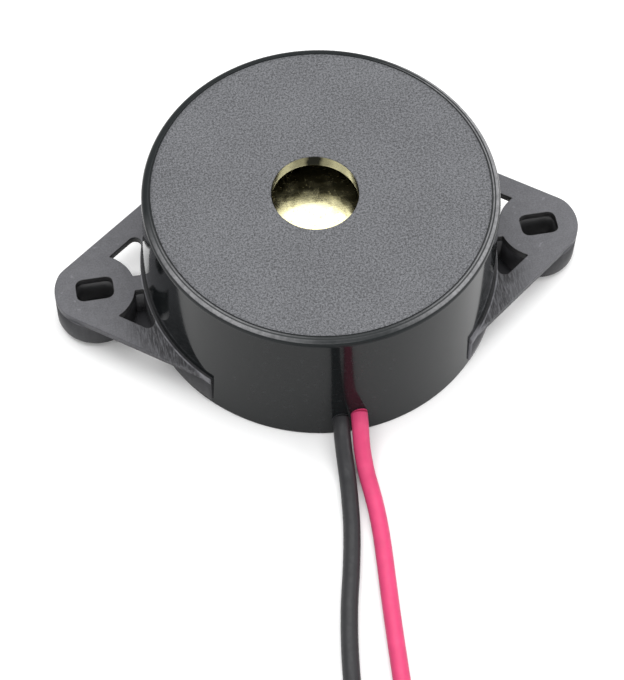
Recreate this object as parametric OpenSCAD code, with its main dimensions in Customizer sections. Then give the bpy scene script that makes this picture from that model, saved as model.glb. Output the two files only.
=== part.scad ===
// Flanged piezo buzzer with its own drive circuit and two flying leads.
// Millimetres. Origin: centre of the case's base, +Z up through the sound hole,
// +X along the line of the two mounting ears. The leads leave towards -Y.

/* [Case] */
// Diameter of the case at its base
case_d = 23.5; // [22.5:0.1:24]
// Height of the case
case_h = 10.8; // [10.4:0.1:13]
// Draft of the side wall, per side, from base to top
side_draft = 0.33; // [0:0.01:0.4]
// Rounding of the top rim
rim_r = 0.45; // [0.2:0.05:0.6]
// Thickness of the side wall at the base
case_wall = 1.45; // [1.2:0.05:1.6]
// Thickness of the sound wall
lid_t = 1; // [0.8:0.05:1.3]
// Width of the smooth rim outside the textured disc
land_w = 0.54; // [0.5:0.02:1]
// Width of the fine groove round the textured disc
groove_w = 0.14; // [0.1:0.01:0.2]
// Depth of the fine groove round the textured disc
groove_t = 0.1; // [0.05:0.01:0.15]

/* [Sound hole] */
// Diameter of the sound hole
hole_d = 5.6; // [3:0.1:7]
// Offset of the sound hole along the ears
hole_x = -0.42; // [-1:0.02:1]
// Offset of the sound hole across the ears
hole_y = -0.14; // [-1:0.02:1]
// Air space between the sound wall and the diaphragm
front_gap = 1.7; // [1.3:0.05:2]

/* [Mounting ears] */
// Distance between the centres of the two mounting slots
slot_pitch = 30; // [29.5:0.1:31]
// End-to-end length of a mounting slot
slot_l = 2.45; // [2:0.05:3.2]
// Width of a mounting slot
slot_w = 1.65; // [1.4:0.05:1.9]
// Diameter of the boss round a mounting slot
boss_d = 5.3; // [4.9:0.1:5.5]
// Height of the ears' top face above the base
ear_top = 3.1; // [2.8:0.1:4.2]
// Height of the ears' underside above the base
ear_lift = 0.5; // [0.3:0.1:1.2]
// Thickness of the web plate
web_t = 0.55; // [0.4:0.05:1]
// Width of each arm of the web plate
arm_w = 1.55; // [1.2:0.05:1.8]
// Direction that an arm's outer edge faces, in degrees from the line of the ears
arm_a = 53.2; // [52.5:0.1:56]
// Rounding of the openings' corners next to the saddle
opening_r = 0.45; // [0.3:0.05:0.6]
// Thickness of the saddle outside the side wall
saddle_t = 0.12; // [0.1:0.01:0.3]
// Half the angle that each saddle wraps round the case
saddle_half = 43.5; // [43:0.5:50]
// Width of the neck between the boss and the saddle
neck_w = 1.15; // [0.8:0.05:2]

/* [Back cover] */
// Thickness of the back cover
cover_t = 0.9; // [0.8:0.05:1.2]
// Clearance round the back cover
cover_gap = 0.05; // [0.02:0.01:0.1]
// Distance of the three pegs' axes inside the board's edge
peg_inset = 1.7; // [1.3:0.1:2.2]
// Diameter of a peg's shoulder
peg_d = 2.2; // [1.8:0.1:2.6]
// Diameter of a peg's locating tip
peg_tip_d = 1; // [0.8:0.05:1.3]
// Height of a peg's tip above the board
peg_tip_h = 0.4; // [0.2:0.05:0.8]

/* [Diaphragm] */
// Clearance round the brass plate
plate_gap = 0.3; // [0.1:0.05:0.5]
// Thickness of the brass plate
plate_t = 0.2; // [0.1:0.02:0.3]
// Radial width of the ledge that the brass plate seats on
ledge_w = 0.9; // [0.7:0.05:1.2]
// Height of the adhesive fillet under the brass plate
glue_h = 0.5; // [0.3:0.05:0.8]
// Radial width of the adhesive fillet under the brass plate
glue_w = 0.7; // [0.4:0.05:0.9]
// Bare margin of brass round the piezo ceramic disc
brass_margin = 3; // [2.5:0.1:4]
// Thickness of the piezo ceramic disc
ceramic_t = 0.22; // [0.15:0.01:0.3]
// Bare margin of ceramic round the silver electrodes
electrode_margin = 0.4; // [0.2:0.05:1]
// Thickness of the silver electrodes
electrode_t = 0.04; // [0.02:0.01:0.06]
// Bare gap between the main electrode and the feedback electrode
electrode_gap = 0.35; // [0.2:0.05:0.6]
// Diameter of the feedback electrode's round end
tongue_d = 2.4; // [2:0.1:3]
// Width of the feedback electrode's neck
tongue_w = 1.2; // [0.8:0.1:1.6]
// Distance of the feedback electrode's round end inside the electrodes' edge
tongue_in = 2.4; // [2:0.1:3]

/* [Circuit board] */
// Clearance round the circuit board
board_clear = 0.6; // [0.3:0.05:0.9]
// Thickness of the circuit board
board_t = 1; // [0.8:0.1:1.2]
// Space between the back cover and the circuit board
board_gap = 2.2; // [2:0.1:2.5]
// Thickness of the copper tracks
copper_t = 0.05; // [0.03:0.01:0.1]
// Width of a copper track
track_w = 0.5; // [0.3:0.05:0.8]
// Clearance round the pegs and conductors in the board's holes
board_hole_gap = 0.05; // [0.03:0.01:0.1]
// Diameter of a solder pad
pad_d = 1.5; // [1.2:0.1:1.7]
// Height of a solder joint
solder_h = 0.5; // [0.3:0.05:0.7]
// Ring of bare pad round a solder joint
pad_rim = 0.15; // [0.1:0.01:0.2]
// Thickness of solder round a conductor at the joint's top
solder_neck = 0.12; // [0.05:0.01:0.2]

/* [Components] */
// Length, width and height of a chip resistor
chip = [2, 1.25, 0.5];
// Length of a chip resistor's metal end
chip_end_l = 0.4; // [0.2:0.05:0.5]
// Length, width and height of the protection diode
diode = [2.7, 1.6, 1.1];
// Length, width and height of the transistor's case
transistor = [2.9, 1.3, 1];
// Pitch of the transistor's legs
leg_pitch = 0.95; // [0.8:0.05:1]
// Width of a transistor leg
leg_w = 0.4; // [0.3:0.05:0.5]
// Thickness of a transistor leg
leg_t = 0.12; // [0.1:0.01:0.2]
// Reach of a transistor leg beyond the case
leg_reach = 0.55; // [0.4:0.05:0.7]

/* [Diaphragm wires] */
// Diameter of the diaphragm wires
wire_d = 0.5; // [0.4:0.05:0.6]
// Bend radius of the diaphragm wires
wire_bend = 0.6; // [0.5:0.05:0.7]
// Sideways offset between a wire's two ends
wire_shift = 1.6; // [1.4:0.1:1.8]
// Diameter of a solder dot on the diaphragm
dot_d = 1.3; // [1:0.1:1.5]
// Height of a solder dot on the diaphragm
dot_h = 0.35; // [0.2:0.05:0.5]
// Gap between the solder dot on the brass and the ceramic disc
dot_gap = 0.15; // [0.05:0.05:0.3]

/* [Leads] */
// Diameter of a lead over its insulation
lead_d = 1.1; // [0.9:0.05:1.15]
// Clearance round a lead in the wall
lead_gap = 0.03; // [0.02:0.01:0.05]
// Length of insulated lead inside the case wall
sleeve_in = 1.9; // [1.5:0.1:2.2]
// Diameter of the tinned conductor
core_d = 0.5; // [0.4:0.05:0.6]
// Bend radius of a conductor under the board
core_bend = 0.6; // [0.5:0.05:0.65]
// Straight run of the black lead's conductor before its bend
black_run = 0.3; // [0.2:0.1:0.5]
// Straight run of the red lead's conductor before its bend
red_run = 1.8; // [1.6:0.1:2.4]
// Length of tinned conductor at a lead's far end
bare_l = 4; // [3:0.5:4]
// Inward thickness of the glue dab that holds the leads
dab_t = 1.2; // [0.8:0.1:1.4]
// Margin of the glue dab beside the leads
dab_margin = 0.5; // [0.3:0.05:0.6]
// Thickness of the glue dab over the higher lead
dab_over = 0.2; // [0.1:0.05:0.3]

/* [Coils] */
// Radius of a coil's first turn at the lead's centre
coil_r = 6.5; // [5.5:0.1:8]
// Turns in a coil
coil_turns = 1.95; // [1.5:0.05:2.4]
// Gap in a coil's ring where the lead comes in, in degrees
coil_gap = 36; // [34:1:60]

/* [Hidden] */
$fn = 96;

// Overlap of a cutting shape past the face that it cuts
over = 1;
// Overlap of two shapes that are one piece
fuse = 0.1;

// Case
base_r = case_d / 2;
top_r = base_r - side_draft;
bore_r = base_r - case_wall;
lid_z = case_h - lid_t;
seat_z = lid_z - front_gap;
ledge_r = bore_r - ledge_w;
texture_r = top_r - land_w;

// Ears: an arm's outer edge touches the boss and runs on into the saddle
saddle_r = base_r + saddle_t;
boss_r = boss_d / 2;
slot_x = slot_pitch / 2;
ear_h = ear_top - ear_lift;
arm_n = [cos(arm_a), sin(arm_a)];
arm_run = [sin(arm_a), -cos(arm_a)];
// Distances of an arm's outer and inner edges from the case's axis
arm_out = slot_x * cos(arm_a) + boss_r;
arm_in = arm_out - arm_w;
// Step from the boss's side to the arm's outer edge
edge_in = 0.08;
// Angle between the arm's end, inside the saddle, and the saddle's own end
arm_end = 2;

// Heights inside the case
board_z = cover_t + board_gap;
board_top = board_z + board_t;
copper_top = board_top + copper_t;
plate_r = bore_r - plate_gap;
plate_z = seat_z - plate_t;
ceramic_z = plate_z - ceramic_t;
electrode_z = ceramic_z - electrode_t;
ceramic_r = plate_r - brass_margin;
electrode_r = ceramic_r - electrode_margin;
tongue_y = electrode_r - tongue_in;
board_r = bore_r - board_clear;
peg_ring_r = board_r - peg_inset;
peg_angles = [90, 210, 330];

// Places on the diaphragm that its three wires are soldered to
plate_dot = [-(ceramic_r + dot_gap + dot_d / 2), 2.6];
main_dot = [-3.4, -2.2];
feedback_dot = [0, tongue_y];

// Places on the board: pads of the three wires, then the components
plate_pad = plate_dot + [wire_shift, 0];
main_pad = main_dot - [wire_shift, 0];
feedback_pad = feedback_dot + [0, wire_shift];
transistor_at = [0, 0.6];
base_resistor_at = [-3.2, 1.2];
collector_resistor_at = [3.8, -2.6];
feedback_resistor_at = [3.4, 3.4];
diode_at = [-3.4, -5];

// Leads: centre line from the wall to where the coil starts, chosen by hand
lead_r = lead_d / 2;
black_route = [
  [-0.73, -11.7, 1.85], [-0.8, -12.4, 1.77], [-0.87, -13.1, 1.5], [-0.9, -13.8, 1.11],
  [-0.92, -14.5, 0.78], [-0.96, -15.3, 0.57], [-1.04, -16.2, 0.55], [-1.16, -17.3, 0.55],
  [-1.35, -18.7, 0.55], [-1.65, -20.3, 0.55], [-2.03, -22, 0.55], [-2.45, -23.7, 0.55],
  [-2.8, -25.4, 0.55], [-3.1, -27.2, 0.55], [-3.35, -29.2, 0.55], [-3.5, -31.4, 0.55],
  [-3.55, -34.2, 0.55], [-3.55, -37.5, 0.55]
];
red_route = [
  [0.45, -11.7, 2.15], [0.37, -12.5, 2], [0.3, -13.2, 1.66], [0.26, -13.9, 1.2],
  [0.28, -14.6, 0.78], [0.31, -15.4, 0.56], [0.36, -16.3, 0.55], [0.41, -17.6, 0.55],
  [0.39, -19.2, 0.55], [0.29, -20.8, 0.55], [0.16, -22.4, 0.55], [0.02, -24.1, 0.55],
  [-0.1, -25.7, 0.55], [-0.22, -27.5, 0.55], [-0.34, -29.5, 0.55], [-0.41, -31.6, 0.55],
  [-0.44, -34.2, 0.55], [-0.44, -37.5, 0.55]
];
route_end = len(black_route) - 1;
black_exit = black_route[0];
red_exit = red_route[0];
sleeve_y = -(bore_r - sleeve_in);
black_core_y = sleeve_y + black_run + core_bend;
red_core_y = sleeve_y + red_run + core_bend;

// Coils: flat spirals that wind inwards by one diameter a turn
coil_last_r = coil_r - coil_turns * lead_d;
coil_y = black_route[route_end][1];
black_coil_x = black_route[route_end][0] - coil_r;
red_coil_x = red_route[route_end][0] + coil_r;
// The insulated end turns into the coil's hollow on a bend of two diameters
tail_bend = 2 * lead_d;
tail_turn = 72;

// Colours
plastic_colour = [0.2, 0.205, 0.21];
brass_colour = [0.8, 0.66, 0.32];
ceramic_colour = [0.88, 0.86, 0.8];
silver_colour = [0.75, 0.76, 0.77];
glue_colour = [0.85, 0.85, 0.8];
board_colour = [0.55, 0.38, 0.2];
copper_colour = [0.75, 0.45, 0.25];
chip_colour = [0.08, 0.08, 0.09];
solder_colour = [0.68, 0.69, 0.7];
red_colour = [0.9, 0.2, 0.38];
black_colour = [0.13, 0.13, 0.14];

// ---- Helpers ----

function unit(v) = v / norm(v);

// Direction of the path at point i; the first and last points keep the y direction
function heading(path, i) =
  i == 0 || i == len(path) - 1 ? [0, -1, 0] : unit(path[i + 1] - path[i - 1]);

// Corners of the tube's section at point i, as many as sides
function section(path, i, r, sides) =
  let(t = heading(path, i), s = unit(cross(t, [0, 0, 1])), u = cross(s, t))
  [for (k = [0:sides - 1]) path[i] + r * (cos(360 * (k + 0.5) / sides) * s + sin(360 * (k + 0.5) / sides) * u)];

// Round tube along a path of points
module sweep(path, r, sides = 8) {
  rings = len(path);
  points = [for (i = [0:rings - 1]) each section(path, i, r, sides)];
  walls = [
    for (i = [0:rings - 2], k = [0:sides - 1])
    let(a = i * sides, b = a + sides, n = (k + 1) % sides)
    each [[a + k, b + k, b + n], [a + k, b + n, a + n]]
  ];
  start = [for (k = [0:sides - 1]) k];
  end = [for (k = [0:sides - 1]) rings * sides - 1 - k];
  polyhedron(points, concat([start, end], walls), convexity = 4);
}

// Stretch of a plane that lies within an angle either side of +X
module wedge(half, r) {
  far = 2 * r;
  polygon([[0, 0], far * [cos(half), -sin(half)], far * [1, 0], far * [cos(half), sin(half)]]);
}

// Both ears' copy of what is drawn for the ear at +X
module both_ears() {
  children();
  mirror([1, 0, 0]) children();
}

// Quarter bend of a round wire: starts at the origin towards +X and ends towards +Z
module elbow(d, bend) {
  translate([0, 0, bend]) rotate([90, 0, 0])
    rotate_extrude(angle = 90, start = -90) translate([bend, 0]) circle(d = d);
}

// Straight round wire from the origin along +Z
module straight(d, l) {
  cylinder(d = d, h = l);
}

// Solder joint: a low cone round a conductor
module joint(at) {
  difference() {
    translate([at[0], at[1], copper_top])
      cylinder(r1 = pad_d / 2 - pad_rim, r2 = core_d / 2 + solder_neck, h = solder_h);
    translate([at[0], at[1], board_z]) cylinder(d = core_d + 0.02, h = board_t + copper_t + 2 * solder_h);
  }
}

// ---- Housing ----

// Half section of the case's outside
module case_profile() {
  union() {
    polygon([[0, 0], [base_r, 0], [top_r, case_h - rim_r], [0, case_h - rim_r]]);
    translate([top_r - rim_r, case_h - rim_r]) circle(r = rim_r);
    square([top_r - rim_r, case_h]);
  }
}

// Outline of what stands at the ear's full height: saddle, neck and boss
module block_outline() {
  union() {
    intersection() {
      difference() {
        circle(r = saddle_r);
        circle(r = top_r - 2 * fuse);
      }
      wedge(saddle_half, slot_pitch);
    }
    translate([top_r - 2 * fuse, -neck_w / 2]) square([slot_x - boss_r - top_r + 3 * fuse, neck_w]);
    translate([slot_x, 0]) circle(r = boss_r);
  }
}

// Corner of the strip between an ear's two arms, where it ends inside the saddle
function strip_corner(d) =
  let(a = saddle_half - arm_end)
  d / cos(arm_a - a) * [cos(a), sin(a)];

// Strip between the lines at a distance from the case's axis, from inside the saddle to the boss
module strip(d) {
  at_boss = [slot_x, 0] + (d - slot_x * cos(arm_a)) * arm_n;
  flip = [[1, 0], [0, -1]];
  polygon([[0, 0], flip * strip_corner(d), flip * at_boss, at_boss, strip_corner(d)]);
}

// Fill that rounds an opening's corner between the arm and the saddle, on the +Y side
module corner_fill() {
  steps = 8;
  reach = sqrt(pow(saddle_r + opening_r, 2) - pow(arm_in - opening_r, 2));
  centre = (arm_in - opening_r) * arm_n + reach * arm_run;
  turn = 180 + atan2(centre[1], centre[0]) - arm_a;
  corner = (arm_in + fuse) * arm_n + sqrt(pow(saddle_r - fuse, 2) - pow(arm_in, 2)) * arm_run;
  rounding = [
    for (i = [0:steps]) let(a = arm_a + turn * i / steps) centre + opening_r * [cos(a), sin(a)]
  ];
  polygon(concat([corner], rounding));
}

// Outline of the two openings between the arms, the saddle and the boss
module openings_outline() {
  difference() {
    strip(arm_in);
    circle(r = saddle_r);
    translate([slot_x, 0]) circle(r = boss_r);
    translate([0, -neck_w / 2]) square([slot_x, neck_w]);
    corner_fill();
    mirror([0, 1]) corner_fill();
  }
}

// Outline of an ear's web plate
module web_outline() {
  difference() {
    strip(arm_out - edge_in);
    openings_outline();
    circle(r = bore_r + case_wall / 2);
  }
}

// Mounting slot, long along the line of the ears
module slot_outline() {
  run = slot_l - slot_w;
  square([run, slot_w], center = true);
  translate([run / 2, 0]) circle(d = slot_w);
  translate([-run / 2, 0]) circle(d = slot_w);
}

// One ear at +X: boss, neck, web plate and saddle
module ear() {
  difference() {
    union() {
      translate([0, 0, ear_lift]) linear_extrude(ear_h) block_outline();
      translate([0, 0, ear_top - web_t]) linear_extrude(web_t) web_outline();
    }
    translate([slot_x, 0, ear_lift - over]) linear_extrude(ear_h + 2 * over) slot_outline();
  }
}

// Hole through the side wall for one lead
module lead_hole(exit) {
  translate([exit[0], -base_r - over, exit[2]]) rotate([-90, 0, 0])
    cylinder(d = lead_d + 2 * lead_gap, h = case_wall + 3 * over);
}

// Case, sound wall and both ears: one moulding
module housing() {
  color(plastic_colour) difference() {
    union() {
      rotate_extrude() case_profile();
      both_ears() ear();
    }
    translate([0, 0, -over]) cylinder(r = bore_r, h = seat_z + over);
    cylinder(r = ledge_r, h = lid_z);
    translate([hole_x, hole_y, lid_z - over]) cylinder(d = hole_d, h = lid_t + 2 * over);
    translate([0, 0, case_h - groove_t]) rotate_extrude()
      translate([texture_r - groove_w / 2, 0]) square([groove_w, over]);
    lead_hole(black_exit);
    lead_hole(red_exit);
  }
}

// Back cover with three pegs that carry the circuit board
module back_cover() {
  color(plastic_colour) union() {
    cylinder(r = bore_r - cover_gap, h = cover_t);
    for (a = peg_angles) rotate(a) translate([peg_ring_r, 0, 0]) {
      cylinder(d = peg_d, h = board_z);
      cylinder(d = peg_tip_d, h = board_top + peg_tip_h);
    }
  }
}

// ---- Diaphragm ----

module diaphragm_plate() {
  color(brass_colour) translate([0, 0, plate_z]) cylinder(r = plate_r, h = plate_t);
}

// Bead that fills the gap round the brass plate and runs on as a fillet under its edge
module diaphragm_adhesive() {
  color(glue_colour) rotate_extrude()
    polygon([
      [plate_r, seat_z], [bore_r, seat_z], [bore_r, plate_z - glue_h],
      [bore_r - glue_w, plate_z], [plate_r, plate_z]
    ]);
}

module piezo_ceramic() {
  color(ceramic_colour) translate([0, 0, ceramic_z]) cylinder(r = ceramic_r, h = ceramic_t);
}

// Feedback electrode's outline, grown by a margin
module tongue_outline(margin) {
  translate([0, tongue_y]) circle(d = tongue_d + 2 * margin);
  translate([-tongue_w / 2 - margin, tongue_y]) square([tongue_w + 2 * margin, electrode_r]);
}

module main_electrode() {
  color(silver_colour) translate([0, 0, electrode_z]) linear_extrude(electrode_t) difference() {
    circle(r = electrode_r);
    tongue_outline(electrode_gap);
  }
}

module feedback_electrode() {
  color(silver_colour) translate([0, 0, electrode_z]) linear_extrude(electrode_t) intersection() {
    circle(r = electrode_r);
    tongue_outline(0);
  }
}

// Solder dot under a face at height z
module dot(at, z) {
  translate([at[0], at[1], z - dot_h]) cylinder(d1 = dot_d - 2 * dot_h, d2 = dot_d, h = dot_h);
}

module diaphragm_solder() {
  color(solder_colour) {
    dot(plate_dot, plate_z);
    dot(main_dot, electrode_z);
    dot(feedback_dot, electrode_z);
  }
}

// ---- Circuit board ----

// Holes for the pegs' tips and for the two conductors
module board_holes(h) {
  for (a = peg_angles) rotate(a) translate([peg_ring_r, 0, 0])
    cylinder(d = peg_tip_d + 2 * board_hole_gap, h = h);
  for (p = [[black_exit[0], black_core_y], [red_exit[0], red_core_y]]) translate([p[0], p[1], 0])
    cylinder(d = core_d + 2 * board_hole_gap, h = h);
}

module circuit_board() {
  color(board_colour) difference() {
    translate([0, 0, board_z]) cylinder(r = board_r, h = board_t);
    translate([0, 0, board_z - over]) board_holes(board_t + 2 * over);
  }
}

// Copper track between two points
module track(p, q) {
  l = norm(q - p);
  translate(p) rotate(atan2(q[1] - p[1], q[0] - p[0])) translate([0, -track_w / 2]) square([l, track_w]);
}

// Pair of pads for a part that lies at a place, turned by an angle
module chip_pads(at, turn, size) {
  pad_l = 0.8;
  for (side = [-1, 1]) translate(at) rotate(turn)
    translate([side * size[0] / 2, 0]) square([pad_l, size[1] + 0.2], center = true);
}

// End of a chip that lies at a place, turned by an angle
function chip_tip(at, turn, size, side) = at + side * size[0] / 2 * [cos(turn), sin(turn)];

// Foot of a transistor leg: legs 0 and 1 on the near side, leg 2 on the far side
function leg_foot(i) =
  transistor_at + (i < 2 ? [(2 * i - 1) * leg_pitch, -(transistor[1] / 2 + leg_reach)]
                         : [0, transistor[1] / 2 + leg_reach]);

module board_copper() {
  black_pad = [black_exit[0], black_core_y];
  red_pad = [red_exit[0], red_core_y];
  color(copper_colour) difference() {
    translate([0, 0, board_top]) linear_extrude(copper_t) {
      for (p = [plate_pad, main_pad, feedback_pad, black_pad, red_pad]) translate(p) circle(d = pad_d);
      for (i = [0:2]) translate(leg_foot(i)) square([leg_w + 0.2, 0.7], center = true);
      chip_pads(base_resistor_at, 90, chip);
      chip_pads(collector_resistor_at, 0, chip);
      chip_pads(feedback_resistor_at, 90, chip);
      chip_pads(diode_at, 0, diode);
      track(plate_pad, chip_tip(base_resistor_at, 90, chip, 1));
      track(main_pad, chip_tip(base_resistor_at, 90, chip, -1));
      track(feedback_pad, chip_tip(feedback_resistor_at, 90, chip, 1));
      track(leg_foot(2), feedback_pad);
      track(leg_foot(1), chip_tip(collector_resistor_at, 0, chip, -1));
      track(red_pad, chip_tip(collector_resistor_at, 0, chip, 1));
      track(black_pad, chip_tip(diode_at, 0, diode, 1));
      track(leg_foot(0), main_pad);
    }
    translate([0, 0, board_top - over]) board_holes(2 * over);
  }
}

module board_solder() {
  color(solder_colour) {
    joint([black_exit[0], black_core_y]);
    joint([red_exit[0], red_core_y]);
    for (p = [plate_pad, main_pad, feedback_pad]) translate([p[0], p[1], copper_top])
      cylinder(r1 = pad_d / 2 - pad_rim, r2 = wire_d / 2 + solder_neck, h = solder_h);
  }
}

// ---- Components ----

// Chip resistor on its two pads, its metal ends slightly thicker than its middle
module chip_resistor(at, turn) {
  step = 0.03;
  color(chip_colour) translate([at[0], at[1], copper_top]) rotate(turn) union() {
    translate([-chip[0] / 2, -chip[1] / 2 + step, step]) cube([chip[0], chip[1] - 2 * step, chip[2] - 2 * step]);
    for (side = [-1, 1]) translate([side * (chip[0] - chip_end_l) / 2, 0, chip[2] / 2])
      cube([chip_end_l, chip[1], chip[2]], center = true);
  }
}

module base_resistor() { chip_resistor(base_resistor_at, 90); }

module collector_resistor() { chip_resistor(collector_resistor_at, 0); }

module feedback_resistor() { chip_resistor(feedback_resistor_at, 90); }

module protection_diode() {
  end_l = 0.5;
  color(chip_colour) translate([diode_at[0], diode_at[1], copper_top]) union() {
    translate([-diode[0] / 2 + end_l / 2, -diode[1] / 2, 0]) cube([diode[0] - end_l, diode[1], diode[2]]);
    translate([-diode[0] / 2, -diode[1] / 4, 0]) cube([diode[0], diode[1] / 2, diode[2] / 4]);
  }
}

module transistor_case() {
  color(chip_colour) translate([transistor_at[0], transistor_at[1], copper_top + leg_t])
    translate([-transistor[0] / 2, -transistor[1] / 2, 0]) cube(transistor);
}

// Three bent legs: a foot on its pad, a riser and a shoulder that meets the case
module transistor_legs() {
  shoulder_z = transistor[2] / 2;
  color(silver_colour) for (i = [0:2]) {
    far = i < 2 ? -1 : 1;
    x = i < 2 ? (2 * i - 1) * leg_pitch : 0;
    translate([transistor_at[0] + x, transistor_at[1] + far * transistor[1] / 2, copper_top])
      rotate(far < 0 ? -90 : 90) translate([0, -leg_w / 2, 0]) union() {
        translate([leg_reach / 2, 0, 0]) cube([leg_reach, leg_w, leg_t]);
        translate([leg_reach / 2, 0, 0]) cube([leg_t, leg_w, shoulder_z + leg_t]);
        translate([0, 0, shoulder_z]) cube([leg_reach / 2 + leg_t, leg_w, leg_t]);
      }
  }
}

// ---- Wires between the board and the diaphragm ----

// Wire from a pad up to a solder dot: up, across by the shift, and up again
module riser(pad, turn, top_z) {
  low_z = copper_top + solder_h;
  across = wire_shift - 2 * wire_bend;
  rise = top_z - low_z;
  lower = (rise - 2 * wire_bend) / 2;
  translate([pad[0], pad[1], low_z]) rotate(turn) union() {
    straight(wire_d, lower);
    translate([0, 0, lower]) mirror([1, 0, -1]) elbow(wire_d, wire_bend);
    translate([wire_bend, 0, lower + wire_bend]) rotate([0, 90, 0]) straight(wire_d, across);
    translate([wire_bend + across, 0, lower + wire_bend]) elbow(wire_d, wire_bend);
    translate([wire_shift, 0, lower + 2 * wire_bend]) straight(wire_d, rise - lower - 2 * wire_bend);
  }
}

module plate_wire() { color(red_colour) riser(plate_pad, 180, plate_z - dot_h); }

module electrode_wire() { color(black_colour) riser(main_pad, 0, electrode_z - dot_h); }

module feedback_wire() { color("royalblue") riser(feedback_pad, -90, electrode_z - dot_h); }

// ---- Leads ----

// Insulated stretch of a lead inside the case, up to the outside of the wall
module lead_sleeve(exit) {
  translate([exit[0], exit[1], exit[2]]) rotate([-90, 0, 0]) cylinder(d = lead_d, h = sleeve_y - exit[1]);
}

module black_lead_sleeve() { color(black_colour) lead_sleeve(black_exit); }

module red_lead_sleeve() { color(red_colour) lead_sleeve(red_exit); }

// Bare conductor from the sleeve's end, under the board and up through its hole
module lead_core(exit, run) {
  turned = exit[2] + core_bend;
  color(solder_colour) union() {
    translate([exit[0], sleeve_y, exit[2]]) rotate([-90, 0, 0]) straight(core_d, run);
    translate([exit[0], sleeve_y + run, exit[2]]) rotate(90) elbow(core_d, core_bend);
    translate([exit[0], sleeve_y + run + core_bend, turned])
      straight(core_d, copper_top + solder_h - turned);
  }
}

module black_lead_core() { lead_core(black_exit, black_run); }

module red_lead_core() { lead_core(red_exit, red_run); }

// Dab of glue inside the wall that holds both leads
module lead_glue() {
  left = black_exit[0] - lead_r - dab_margin;
  right = red_exit[0] + lead_r + dab_margin;
  top = max(black_exit[2], red_exit[2]) + lead_r + dab_over;
  color(glue_colour) difference() {
    intersection() {
      translate([left, -bore_r, cover_t]) cube([right - left, dab_t + 0.1, top - cover_t]);
      cylinder(r = bore_r, h = case_h);
    }
    for (exit = [black_exit, red_exit]) translate([exit[0], -base_r, exit[2]]) rotate([-90, 0, 0])
      cylinder(d = lead_d + 2 * lead_gap, h = base_r);
  }
}

module black_lead() { color(black_colour) sweep(black_route, lead_r); }

module red_lead() { color(red_colour) sweep(red_route, lead_r); }

// Outer shape of a coil that starts at -X and winds counter-clockwise
module coil_ring() {
  rotate_extrude(angle = 360 - coil_gap, start = 180) {
    translate([coil_last_r, 0]) square([coil_r - coil_last_r, lead_d]);
    translate([coil_last_r, lead_r]) circle(r = lead_r);
    translate([coil_r, lead_r]) circle(r = lead_r);
  }
}

// Tinned conductor in the hollow of that coil, after the tail's bend
module coil_end() {
  bend_x = coil_last_r - tail_bend;
  start = [bend_x + tail_bend * cos(tail_turn), tail_bend * sin(tail_turn)];
  rotate(180 + 360 * coil_turns) translate([start[0], start[1], lead_r])
    rotate(tail_turn + 90) rotate([0, 90, 0]) cylinder(d = core_d, h = bare_l);
}

module red_lead_coil() {
  color(red_colour) translate([red_coil_x, coil_y, 0]) coil_ring();
}

module red_lead_end() {
  color(solder_colour) translate([red_coil_x, coil_y, 0]) coil_end();
}

module black_lead_coil() {
  color(black_colour) translate([black_coil_x, coil_y, 0]) mirror([1, 0, 0]) coil_ring();
}

module black_lead_end() {
  color(solder_colour) translate([black_coil_x, coil_y, 0]) mirror([1, 0, 0]) coil_end();
}

housing();
back_cover();
diaphragm_plate();
diaphragm_adhesive();
piezo_ceramic();
main_electrode();
feedback_electrode();
circuit_board();
board_copper();
transistor_case();
transistor_legs();
base_resistor();
collector_resistor();
feedback_resistor();
protection_diode();
board_solder();
diaphragm_solder();
plate_wire();
electrode_wire();
feedback_wire();
lead_glue();
black_lead_sleeve();
red_lead_sleeve();
black_lead_core();
red_lead_core();
black_lead();
red_lead();
black_lead_coil();
red_lead_coil();
black_lead_end();
red_lead_end();
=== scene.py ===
import math

import bpy
import numpy as np
from bpy.props import FloatProperty, FloatVectorProperty, IntProperty, PointerProperty
from mathutils import Matrix, Vector
from mathutils.geometry import delaunay_2d_cdt


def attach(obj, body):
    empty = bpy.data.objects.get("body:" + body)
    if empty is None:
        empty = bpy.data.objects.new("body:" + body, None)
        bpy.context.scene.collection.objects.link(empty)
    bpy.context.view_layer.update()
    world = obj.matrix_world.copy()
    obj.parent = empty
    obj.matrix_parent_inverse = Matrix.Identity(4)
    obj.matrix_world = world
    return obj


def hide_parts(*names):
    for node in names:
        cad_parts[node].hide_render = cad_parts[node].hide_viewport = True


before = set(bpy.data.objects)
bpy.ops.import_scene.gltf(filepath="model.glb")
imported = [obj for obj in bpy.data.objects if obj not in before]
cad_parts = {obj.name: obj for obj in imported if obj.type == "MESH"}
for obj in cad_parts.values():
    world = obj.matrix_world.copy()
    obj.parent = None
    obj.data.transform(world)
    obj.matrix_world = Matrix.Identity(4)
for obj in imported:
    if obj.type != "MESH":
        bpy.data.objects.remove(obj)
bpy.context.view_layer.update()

bl_info = {
    "name": "Flanged piezo buzzer",
    "version": (1, 0, 0),
    "blender": (4, 5, 0),
    "location": "3D View > Sidebar > Buzzer",
    "description": "Builds a flanged piezo buzzer with two flying leads round its packed frame",
    "category": "Add Mesh",
}

MM = 0.001
UP = np.array([0, 0, 1.0])


# ---------------------------------------------------------------- settings

def number(name, description, default):
    """A length or an angle in the panel."""
    return FloatProperty(name=name, description=description, default=default)


def tint(name, description, default):
    """A linear colour in the panel."""
    return FloatVectorProperty(name=name, description=description, subtype="COLOR", size=3, default=default)


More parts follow.
